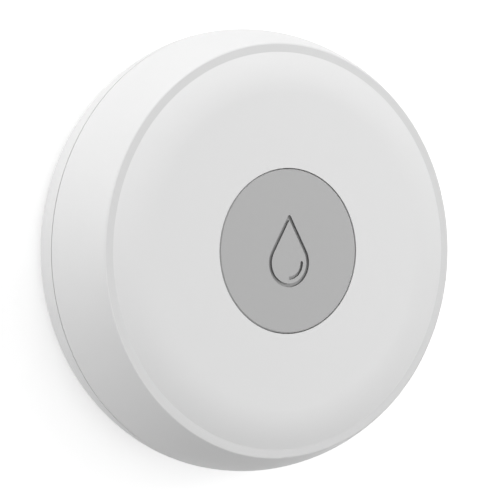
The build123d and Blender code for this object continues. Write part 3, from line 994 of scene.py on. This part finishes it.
@dataclass
class Seals:
    """The rubber pieces: sealing ring, washers under the screws and rings round the probes."""

    screw_bore: float = 1.15
    probe_bore: float = 1.05
    soft_share: float = 0.45
    ring_width: float = 0.7
    foot_round: float = 0.08
    side_round: float = 0.1
    bead_height: float = 0.35
    bead_taper: float = 0.12
    bead_round: float = 0.2

    def build(self) -> None:
        """Makes each seal as a soft, rounded ring."""
        self.sealing_ring()
        self.washers("screw_seals", SCREW_CIRCLE, self.screw_bore, QUARTERS)
        self.washers("probe_seals", PROBE_CIRCLE, self.probe_bore, DIAGONALS)

    def sealing_ring(self) -> None:
        """Ring on the tongue, with a bead along its crown."""
        low, high = reach_of("sealing_ring")
        outer, inner = high.x, high.x - self.ring_width
        middle, bead = (outer + inner) / 2, high.z - self.bead_height
        outline = rounded(
            [
                (middle, low.z, 0.0),
                (outer, low.z, self.foot_round),
                (outer, bead, self.side_round),
                (outer - self.bead_taper, high.z, self.bead_round),
                (inner + self.bead_taper, high.z, self.bead_round),
                (inner, bead, self.side_round),
                (inner, low.z, self.foot_round),
                (middle, low.z, 0.0),
            ]
        )
        ring = Form().turn(outline[:-1], steps=192)
        ring.piece("seal_ring", Body.COVER, BLACK_RUBBER, "sealing_ring")

    def washers(self, node: str, circle: float, bore: float, angles: Sequence[int]) -> None:
        """Rounded rings on a circle.

        Args:
            node: Node that they replace.
            circle: Radius of the circle that they lie on.
            bore: Radius of the hole in each.
            angles: Where each lies, in degrees; the first reaches furthest along X.
        """
        low, high = reach_of(node)
        outer = high.x - circle * math.cos(math.radians(angles[0]))
        middle = (bore + outer) / 2
        soft = (high.z - low.z) * self.soft_share
        corners = [(outer, low.z), (outer, high.z), (bore, high.z), (bore, low.z)]
        outline = [(middle, low.z, 0.0), *((*corner, soft) for corner in corners), (middle, low.z, 0.0)]
        ring = Form().turn(rounded(outline)[:-1], steps=48)
        ring.at(around(circle, angles)).piece(f"{node}_soft", Body.COVER, BLACK_RUBBER, node)


@dataclass
class Boot:
    """Silicone boot over the switch, which the button squeezes."""

    foot: float = 9.6
    foot_bore: float = 8.2
    foot_height: float = 0.7
    crown: float = 3.6
    crown_wall: float = 0.45
    skirt_wall: float = 0.4
    edge_round: float = 0.05
    shoulder_round: float = 0.25
    hip_round: float = 0.3
    inner_round: float = 0.5
    outer_round: float = 0.6
    travel: float = 0.35

    def build(self) -> None:
        """Makes the boot."""
        low, high = reach_of("button_boot")
        inside = high.z - self.crown_wall
        foot_top = low.z + self.foot_height
        outline = rounded(
            [
                (0.0, inside, 0.0),
                (self.crown, inside, self.inner_round),
                (self.foot_bore, foot_top - self.skirt_wall, self.hip_round),
                (self.foot_bore, low.z, self.edge_round),
                (self.foot, low.z, self.edge_round),
                (self.foot, foot_top, self.shoulder_round),
                (self.foot_bore, foot_top, self.outer_round),
                (self.crown, high.z, self.outer_round),
                (0.0, high.z, 0.0),
            ]
        )
        boot = Form().turn(outline, steps=128)
        boot = boot.piece("soft_boot", Body.HOUSING, CLEAR_SILICONE, "button_boot")
        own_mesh(boot)


@dataclass
class Probes:
    """Four gold-plated probes with threaded shanks, held by nuts inside the cover."""

    head: float = 2.2
    head_height: float = 1.4
    tip_round: float = 0.5
    edge_round: float = 0.1
    end_round: float = 0.18
    shank: float = 1.0
    thread_start: float = 2.0
    thread_gap: float = 0.3
    pitch: float = 0.4
    thread_depth: float = 0.13

    def build(self) -> None:
        """Makes each probe in place of its node."""
        top = reach_of("leak_probe_1")[1].z
        thread = Thread(self.thread_start, top - self.thread_gap, self.pitch, self.thread_depth)
        for number, angle in enumerate(DIAGONALS, start=1):
            outline = rounded(
                [
                    (0.0, 0.0, 0.0),
                    (self.head, 0.0, self.tip_round),
                    (self.head, self.head_height, self.edge_round),
                    (self.shank, self.head_height, self.edge_round),
                    *((self.shank, height, 0.0) for height in thread.heights()),
                    (self.shank, top, self.end_round),
                    (0.0, top, 0.0),
                ]
            )
            probe = Form().turn(outline, steps=40, thread=thread)
            placed = probe.at(around(PROBE_CIRCLE, [angle]))
            placed.piece(f"probe_{number}", Body.COVER, GOLD_PROBE, f"leak_probe_{number}")


@dataclass
class Screws:
    """Pan-head screws with a cross recess and a cut thread, all pointing up."""

    node: str
    body: Body
    finish: Finish
    places: list[Matrix]
    head: float
    head_height: float
    shank: float
    point: float
    pitch: float
    thread_depth: float
    thread_gap: float = 0.3
    crown: float = 0.3
    crown_round: float = 0.35
    rim_round: float = 0.25
    seat_round: float = 0.08
    edge_round: float = 0.1
    cross_length: float = 2.2
    cross_width: float = 0.5
    cross_depth: float = 0.6

    def build(self) -> None:
        """Makes one screw, cuts its recess and sets copies at every place."""
        low, high = reach_of(self.node)
        seat = low.z + self.head_height
        thread = Thread(seat + self.thread_gap, high.z - self.point, self.pitch, self.thread_depth)
        outline = rounded(
            [
                (0.0, low.z, 0.0),
                (self.head - self.crown, low.z, self.crown_round),
                (self.head, low.z + self.crown, self.rim_round),
                (self.head, seat, self.seat_round),
                (self.shank, seat, self.edge_round),
                *((self.shank, height, 0.0) for height in thread.heights()),
                (self.shank / 2, high.z, self.edge_round),
                (0.0, high.z, 0.0),
            ]
        )
        screw = Form().turn(outline, steps=32, thread=thread).minus(self.recess(low.z))
        screw.at(self.places).piece(f"{self.node}_threaded", self.body, self.finish, self.node)

    def recess(self, low: float) -> Form:
        """Cutter for the cross.

        Args:
            low: Height of the head's face.

        Returns:
            The cutter.
        """
        long, short = self.cross_length / 2, self.cross_width / 2
        outline = []
        for turn in range(4):
            for x, y in ((short, short), (short, long), (-short, long)):
                for _ in range(turn):
                    x, y = -y, x
                outline.append((x, y))
        return Form().prism(outline, low - self.cross_depth, low + self.cross_depth)


@dataclass
class Cells:
    """Two cells side by side, each a steel can in a printed sleeve.

    A can's flat end has a disc, a groove and a rim; its other end a sunk floor round the nub.
    """

    pitch: float = 11.4
    axis_height: float = 7.85
    can: float = 5.12
    disc: float = 3.7
    groove: Point = (3.9, 4.5)
    groove_depth: float = 0.25
    rim: float = 4.6
    rim_height: float = 0.05
    collar: float = 3.2
    collar_depth: float = 0.1
    sunk_floor: float = 3.0
    sunk_depth: float = 0.4
    nub: float = 1.9
    nub_foot: float = 0.15
    nub_length: float = 0.8
    can_round: float = 0.3
    edge_round: float = 0.1
    sleeve: float = 5.25
    sleeve_round: float = 0.38
    seam: Point = (5.0, 6.0)
    fold: float = 0.7
    fold_wall: float = 0.06
    fold_gap: float = 0.02
    fold_round: float = 0.2
    lip_round: float = 0.02

    @property
    def length(self) -> float:
        """Length of a cell with its nub."""
        low, high = reach_of("battery_cell_1")
        return high.x - low.x

    def build(self) -> None:
        """Makes both cells; the second points the other way."""
        start = reach_of("battery_cell_1")[0].x
        lying = Matrix.Rotation(math.radians(90), 4, "Y")
        lane = Matrix.Translation((start, self.pitch / 2, self.axis_height))
        for number, turn in enumerate((0, 180), start=1):
            place = [Matrix.Rotation(math.radians(turn), 4, "Z") @ lane @ lying]
            can, sleeve = self.steel().at(place), self.film().at(place)
            can.piece(f"cell_can_{number}", Body.HOUSING, CELL_CAN, f"battery_cell_{number}")
            sleeve.piece(f"cell_sleeve_{number}", Body.HOUSING, SLEEVES[number - 1])

    def steel(self) -> Form:
        """Can with a stepped flat end and a raised end, standing on its flat end.

        Returns:
            The can.
        """
        top, edge = self.length, self.edge_round
        shoulder = top - self.nub_length
        outline = [
            (0.0, 0.0, 0.0),
            (self.disc, 0.0, edge),
            (self.groove[0], self.groove_depth, edge),
            (self.groove[1], self.groove_depth, edge),
            (self.rim, self.rim_height, edge),
            (self.can, self.rim_height, self.can_round),
            (self.can, shoulder - self.collar_depth, self.can_round),
            (self.collar, shoulder - self.collar_depth, edge),
            (self.sunk_floor, shoulder - self.sunk_depth, edge),
            (self.nub + self.nub_foot, shoulder - self.sunk_depth, edge),
            (self.nub, shoulder, edge),
            (self.nub, top, self.can_round),
            (0.0, top, 0.0),
        ]
        return Form().turn(rounded(outline), steps=96)

    def film(self) -> Form:
        """Sleeve that folds over both ends of the can.

        Returns:
            The sleeve.
        """
        low, high = self.fold_gap, self.length - self.nub_length
        lip = self.can - self.fold
        outline = [
            (self.can, self.seam[0], 0.0),
            (self.can, low + self.fold_wall, self.fold_round),
            (lip, low + self.fold_wall, self.lip_round),
            (lip, low, self.lip_round),
            (self.sleeve, low, self.sleeve_round),
            (self.sleeve, high, self.sleeve_round),
            (lip, high, self.lip_round),
            (lip, high - self.fold_wall, self.lip_round),
            (self.can, high - self.fold_wall, self.fold_round),
            (self.can, self.seam[1], 0.0),
        ]
        return Form().turn(rounded(outline), steps=96)


@dataclass
class BoardDetail:
    """Copper, pads and solder on the board's underside, which shows when the cover is off."""

    copper: float = 0.035
    trace_width: float = 0.32
    trace_radii: tuple[float, ...] = (22.75, 23.4)
    trace_angles: Point = (54.0, 126.0)
    trace_inset: float = 2.0
    run: tuple[Point, ...] = ((0.0, 0.0), (0.0, 1.4), (0.8, 2.2), (0.8, 3.4))
    pad_count: int = 5
    pad_radius: float = 0.65
    pad_pitch: float = 2.4
    pad_place: float = -20.4
    drop_circle: float = 25.6
    drop_radius: float = 1.0
    drop_height: float = 0.42
    drop_shoulder: Point = (0.55, 0.4)
    drop_round: float = 0.3

    @property
    def under(self) -> float:
        """Height of the board's underside."""
        return reach_of("main_board")[0].z

    def build(self) -> None:
        """Makes the traces, the test pads and the solder at the fingers."""
        self.traces()
        self.test_pads()
        self.joints()

    def row(self) -> list[float]:
        """Place of each pad along X."""
        return [(index - (self.pad_count - 1) / 2) * self.pad_pitch for index in range(self.pad_count)]

    def arc(self, radius: float, start: float, end: float, steps: int = 36) -> list[Point]:
        """Points along an arc about the board's middle, between two angles in degrees."""
        angles = [math.radians(start + (end - start) * step / steps) for step in range(steps + 1)]
        return [(radius * math.cos(angle), radius * math.sin(angle)) for angle in angles]

    def traces(self) -> None:
        """Arcs that join the fingers on each side, and short runs in towards the tray."""
        form = Form()
        start, end = self.trace_angles
        paths = [
            self.arc(radius, side + start + self.trace_inset * index, side + end - self.trace_inset * index)
            for side in (0, 180)
            for index, radius in enumerate(self.trace_radii)
        ]
        paths += [[(x + across, self.pad_place + along) for across, along in self.run] for x in self.row()]
        for path in paths:
            form.strip(path, self.trace_width, self.under - self.copper, self.under)
        form.piece("board_traces", Body.HOUSING, COVERED_TRACE)

    def test_pads(self) -> None:
        """Row of round gold pads beside the tray."""
        foot, top = self.under - 2 * self.copper, self.under
        places = [Matrix.Translation((x, self.pad_place, 0.0)) for x in self.row()]
        outline = [(0.0, foot), (self.pad_radius, foot), (self.pad_radius, top), (0.0, top)]
        Form().turn(outline, steps=32).at(places).piece("test_pads", Body.HOUSING, GOLD_PAD)

    def joints(self) -> None:
        """Solder where each finger's foot lies on the board."""
        shoulder, rise = self.drop_shoulder
        outline = [
            (0.0, self.under - self.drop_height, 0.0),
            (shoulder, self.under - rise, self.drop_round),
            (self.drop_radius, self.under, 0.0),
            (0.0, self.under, 0.0),
        ]
        drops = Form().turn(rounded(outline), steps=32).at(around(self.drop_circle, DIAGONALS))
        drops.piece("finger_solder", Body.HOUSING, SOLDER)


@dataclass(frozen=True)
class Lamp:
    """Square soft light, placed by its direction from the object."""

    name: str
    towards: Triple
    irradiance: float
    distance: float = 0.6
    side: float = 0.35

    def hang(self) -> None:
        """Makes the light so that it gives its irradiance at the object."""
        data = bpy.data.lights.new(self.name, "AREA")
        data.shape = "SQUARE"
        data.size = self.side
        data.energy = self.irradiance * math.pi * self.distance**2
        lamp = linked(self.name, data)
        direction = Vector(self.towards).normalized()
        lamp.location = direction * self.distance
        lamp.rotation_euler = direction.to_track_quat("Z", "Y").to_euler()


@dataclass
class Studio:
    """Pale floor, soft lights and a camera that sees the object at the photograph's angle.

    Its lengths are in metres, but for the lens, and its angles in degrees.
    """

    floor_side: float = 3.0
    floor_grey: float = 0.7
    floor_glow: float = 0.58
    ambient: float = 0.25
    turn: float = 33.67
    tilt: float = 0.61
    lens: float = 164.6
    aim_height: float = 0.0182
    camera_distance: float = 0.3286
    shift_right: float = 0.00504
    shift_up: float = 0.00013
    lamps: tuple[Lamp, ...] = (
        Lamp("high_right", (0.866, 0.5, 1.2), 1.17),
        Lamp("high_left", (-0.866, 0.5, 1.2), 0.24),
        Lamp("high_low", (0.866, -0.5, 1.2), 0.50),
        Lamp("top", (0.0, 1.0, 0.35), 0.70),
        Lamp("overhead", (0.0, 0.0, 1.0), 0.28),
        Lamp("edge_top", (-0.383, 0.924, 0.09), 0.42, side=0.1),
        Lamp("edge_upper_left", (-0.924, 0.383, 0.09), 0.67, side=0.1),
        Lamp("edge_left", (-1.0, 0.0, 0.09), 0.505, side=0.1),
    )

    def build(self) -> None:
        """Makes the floor, the world, the lights and the camera."""
        bpy.context.scene.view_settings.view_transform = "Standard"
        self.lay_floor()
        self.light_world()
        for lamp in self.lamps:
            lamp.hang()
        self.set_camera()

    def lay_floor(self) -> None:
        """Lays the floor, which looks white, shows the object's shadow and is clear from below."""
        half = self.floor_side / 2
        mesh = bpy.data.meshes.new("floor")
        corners = [(-half, -half, 0), (half, -half, 0), (half, half, 0), (-half, half, 0)]
        mesh.from_pydata(corners, [], [(0, 1, 2, 3)])
        shader = Shader("floor")
        paint = shader.node("ShaderNodeBsdfDiffuse", inputs={"Color": (self.floor_grey,) * 3})
        glow = shader.node("ShaderNodeEmission", inputs={"Strength": shader.seen() * self.floor_glow})
        above = shader.node("ShaderNodeAddShader", inputs={0: paint, 1: glow})
        below = shader.node("ShaderNodeBsdfTransparent")
        side = shader.node("ShaderNodeNewGeometry", result="Backfacing")
        whole = shader.node("ShaderNodeMixShader", inputs={0: side, 1: above, 2: below})
        shader.tree.nodes.remove(shader.surface)
        shader.feed(shader.tree.nodes["Material Output"].inputs["Surface"], whole)
        mesh.materials.append(shader.material)
        floor = linked("floor", mesh)

    def light_world(self) -> None:
        """Fills the room with a plain white that is softer as light than it looks."""
        world = bpy.data.worlds.new("room")
        bpy.context.scene.world = world
        world.use_nodes = True
        nodes = Nodes(world.node_tree)
        background = world.node_tree.nodes["Background"]
        limits = {"Value": nodes.seen(), "To Min": self.ambient, "To Max": 1.0}
        nodes.feed(background.inputs["Color"], (1.0, 1.0, 1.0))
        nodes.feed(background.inputs["Strength"], nodes.node("ShaderNodeMapRange", inputs=limits))

    def set_camera(self) -> None:
        """Sets the camera from the way the face turns away from it.

        The face's own directions are worked out in the camera's axes: right, up and back. Turned
        round, they give the camera's axes in the object's frame.
        """
        turn, tilt = math.radians(self.turn), math.radians(self.tilt)
        face = Vector((math.sin(turn) * math.cos(tilt), -math.sin(tilt), math.cos(turn) * math.cos(tilt)))
        up = Vector((0.0, 1.0, 0.0))
        row_y = (up - face * up.dot(face)).normalized()
        row_x = row_y.cross(face)
        axes = Matrix((row_x, row_y, face))
        right, upward, back = axes.col
        place = Vector((0.0, 0.0, self.aim_height)) + back * self.camera_distance
        place += upward * self.shift_up - right * self.shift_right
        data = bpy.data.cameras.new("camera")
        data.lens = self.lens
        data.sensor_width = 36.0
        data.clip_start = 0.01
        camera = linked("camera", data)
        camera.matrix_world = Matrix.Translation(place) @ axes.to_4x4()
        bpy.context.scene.camera = camera


def main() -> None:
    """Dresses the nodes, makes the fine pieces in order and sets up the studio."""
    logging.basicConfig(level=logging.INFO, format="%(name)s: %(message)s")
    for node, finish in NODE_FINISHES.items():
        dress(node, finish)
    Seals().build()
    Boot().build()
    Probes().build()
    Screws(
        "cover_screws", Body.COVER, COVER_SCREW, around(SCREW_CIRCLE, QUARTERS),
        head=1.9, head_height=1.2, shank=1.1, point=0.8, pitch=0.8, thread_depth=0.26,
    ).build()
    across, along = BOARD_SCREW_PLACE
    places = [Matrix.Translation((x, y, 0.0)) for x in (-across, across) for y in (-along, along)]
    Screws(
        "board_screws", Body.HOUSING, BOARD_SCREW, places,
        head=1.7, head_height=1.1, shank=0.85, point=0.4, pitch=0.5, thread_depth=0.16,
    ).build()
    Cells().build()
    BoardDetail().build()
    Studio().build()


if __name__ == "__main__":
    main()
